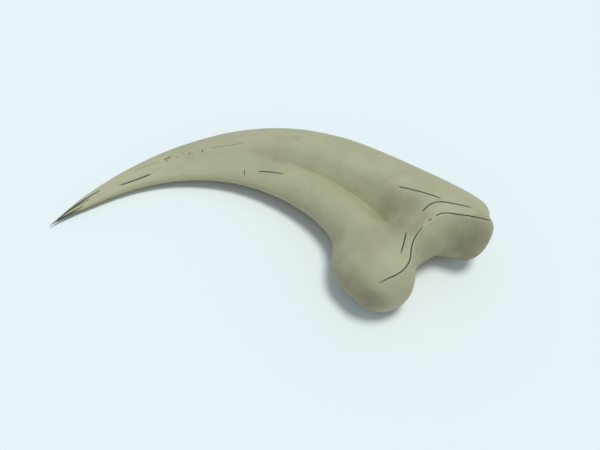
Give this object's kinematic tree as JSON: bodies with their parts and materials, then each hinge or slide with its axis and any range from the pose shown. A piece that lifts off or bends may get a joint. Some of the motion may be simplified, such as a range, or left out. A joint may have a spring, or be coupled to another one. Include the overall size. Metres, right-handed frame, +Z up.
{
  "type": "dinosaur fossil claw",
  "caption": "Sickle-shaped dinosaur claw bone with a side groove, a raised rim round its joint face and a rounded knob on the inner curve, lying on its side.",
  "frame": {"origin": "middle of the footprint, on the surface that the claw rests on", "axes": "+Z up, +X from the tip to the joint end, +Y towards the outer (upper) curve"},
  "size_m": [0.0724, 0.0382, 0.0128],
  "materials": {
    "fossil_bone": "smooth, dull, olive khaki with fine cracks"
  },
  "bodies": {
    "root": {"claw": "fossil_bone"}
  },
  "joints": []
}
